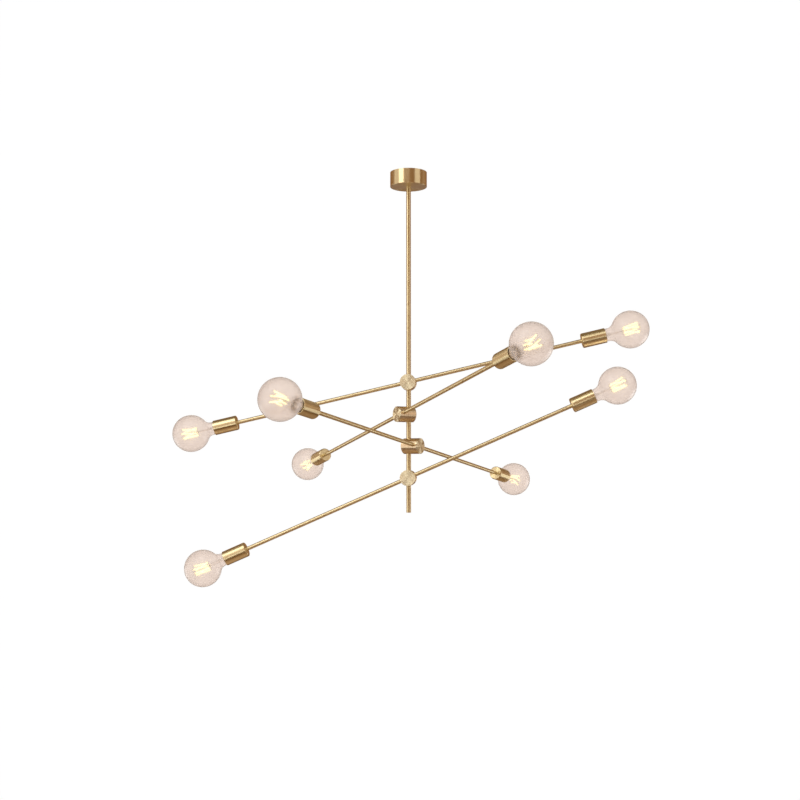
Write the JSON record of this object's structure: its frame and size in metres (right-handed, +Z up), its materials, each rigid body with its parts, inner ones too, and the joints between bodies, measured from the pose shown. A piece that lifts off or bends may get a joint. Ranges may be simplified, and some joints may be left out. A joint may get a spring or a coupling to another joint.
{
  "type": "multi arm chandelier",
  "caption": "Ceiling chandelier of straight brass arms that swivel and tilt on one thin stem, with a clear globe filament lamp in a cup at each arm end.",
  "frame": {"origin": "centre of the ceiling bracket's top face, on the stem's axis, in the ceiling plane; everything hangs below it", "axes": "+Z up along the stem, into the ceiling; +X along the bracket and the line of its two slots, to the right seen from the front; +Y away from the front"},
  "size_m": [1.2108, 1.0675, 1.0682],
  "materials": {
    "satin_brass": "satin brushed brass, warm and light",
    "screw_brass": "plain turned brass",
    "zinc_steel": "zinc-plated steel",
    "ceramic": "glazed white ceramic, opaque",
    "lead_sheath": "matt cable sheath",
    "clear_glass": "clear blown glass with a faint warm tint"
  },
  "bodies": {
    "stem": {"ceiling_bracket": "zinc_steel", "canopy": "satin_brass", "canopy_side_screws": "screw_brass", "terminal_block": "ceramic", "terminal_screw": "zinc_steel", "earth_screw": "zinc_steel", "stem_nipple": "zinc_steel", "nipple_nut": "zinc_steel", "stem_tube": "satin_brass", "stem_end_plug": "satin_brass", "stem_mains_lead": "lead_sheath"},
    "hub_1": {"hub_1_body": "satin_brass", "hub_1_grub_screw": "screw_brass", "hub_1_pivot": "screw_brass"},
    "arm_1": {"hub_1_arm_block": "satin_brass", "hub_1_cover": "satin_brass", "arm_1_tube": "satin_brass", "arm_1_lead": "lead_sheath", "arm_1_lampholders": "ceramic", "arm_1_socket_cup_left": "satin_brass", "arm_1_lamp_left": "clear_glass", "arm_1_socket_cup_right": "satin_brass", "arm_1_lamp_right": "clear_glass"},
    "hub_2": {"hub_2_body": "satin_brass", "hub_2_grub_screw": "screw_brass", "hub_2_pivot": "screw_brass"},
    "arm_2": {"hub_2_arm_block": "satin_brass", "hub_2_cover": "satin_brass", "arm_2_tube": "satin_brass", "arm_2_lead": "lead_sheath", "arm_2_lampholders": "ceramic", "arm_2_socket_cup_left": "satin_brass", "arm_2_lamp_left": "clear_glass", "arm_2_socket_cup_right": "satin_brass", "arm_2_lamp_right": "clear_glass"},
    "hub_3": {"hub_3_body": "satin_brass", "hub_3_grub_screw": "screw_brass", "hub_3_pivot": "screw_brass"},
    "arm_3": {"hub_3_arm_block": "satin_brass", "hub_3_cover": "satin_brass", "arm_3_tube": "satin_brass", "arm_3_lead": "lead_sheath", "arm_3_lampholders": "ceramic", "arm_3_socket_cup_left": "satin_brass", "arm_3_lamp_left": "clear_glass", "arm_3_socket_cup_right": "satin_brass", "arm_3_lamp_right": "clear_glass"},
    "hub_4": {"hub_4_body": "satin_brass", "hub_4_grub_screw": "screw_brass", "hub_4_pivot": "screw_brass"},
    "arm_4": {"hub_4_arm_block": "satin_brass", "hub_4_cover": "satin_brass", "arm_4_tube": "satin_brass", "arm_4_lead": "lead_sheath", "arm_4_lampholders": "ceramic", "arm_4_socket_cup_left": "satin_brass", "arm_4_lamp_left": "clear_glass", "arm_4_socket_cup_right": "satin_brass", "arm_4_lamp_right": "clear_glass"}
  },
  "joints": [
    {"name": "hub_1_swivel", "type": "hinge", "parent": "stem", "child": "hub_1", "pos_m": [0, 0, -0.547], "axis": [0, 0, 1], "range_deg": [-45, 45]},
    {"name": "arm_1_tilt", "type": "hinge", "parent": "hub_1", "child": "arm_1", "pos_m": [0, 0, -0.547], "axis": [-0.0698, -0.9976, 0], "range_deg": [-4, 20]},
    {"name": "hub_2_swivel", "type": "hinge", "parent": "stem", "child": "hub_2", "pos_m": [0, 0, -0.628], "axis": [0, 0, 1], "range_deg": [-45, 45]},
    {"name": "arm_2_tilt", "type": "hinge", "parent": "hub_2", "child": "arm_2", "pos_m": [0, 0, -0.628], "axis": [-0.866, -0.5, 0], "range_deg": [-25, 25]},
    {"name": "hub_3_swivel", "type": "hinge", "parent": "stem", "child": "hub_3", "pos_m": [0, 0, -0.709], "axis": [0, 0, 1], "range_deg": [-45, 45]},
    {"name": "arm_3_tilt", "type": "hinge", "parent": "hub_3", "child": "arm_3", "pos_m": [0, 0, -0.709], "axis": [0.8572, -0.515, 0], "range_deg": [-25, 25]},
    {"name": "hub_4_swivel", "type": "hinge", "parent": "stem", "child": "hub_4", "pos_m": [0, 0, -0.79], "axis": [0, 0, 1], "range_deg": [-45, 45]},
    {"name": "arm_4_tilt", "type": "hinge", "parent": "hub_4", "child": "arm_4", "pos_m": [0, 0, -0.79], "axis": [-0.0785, -0.9969, 0], "range_deg": [-20, 5]}
  ]
}
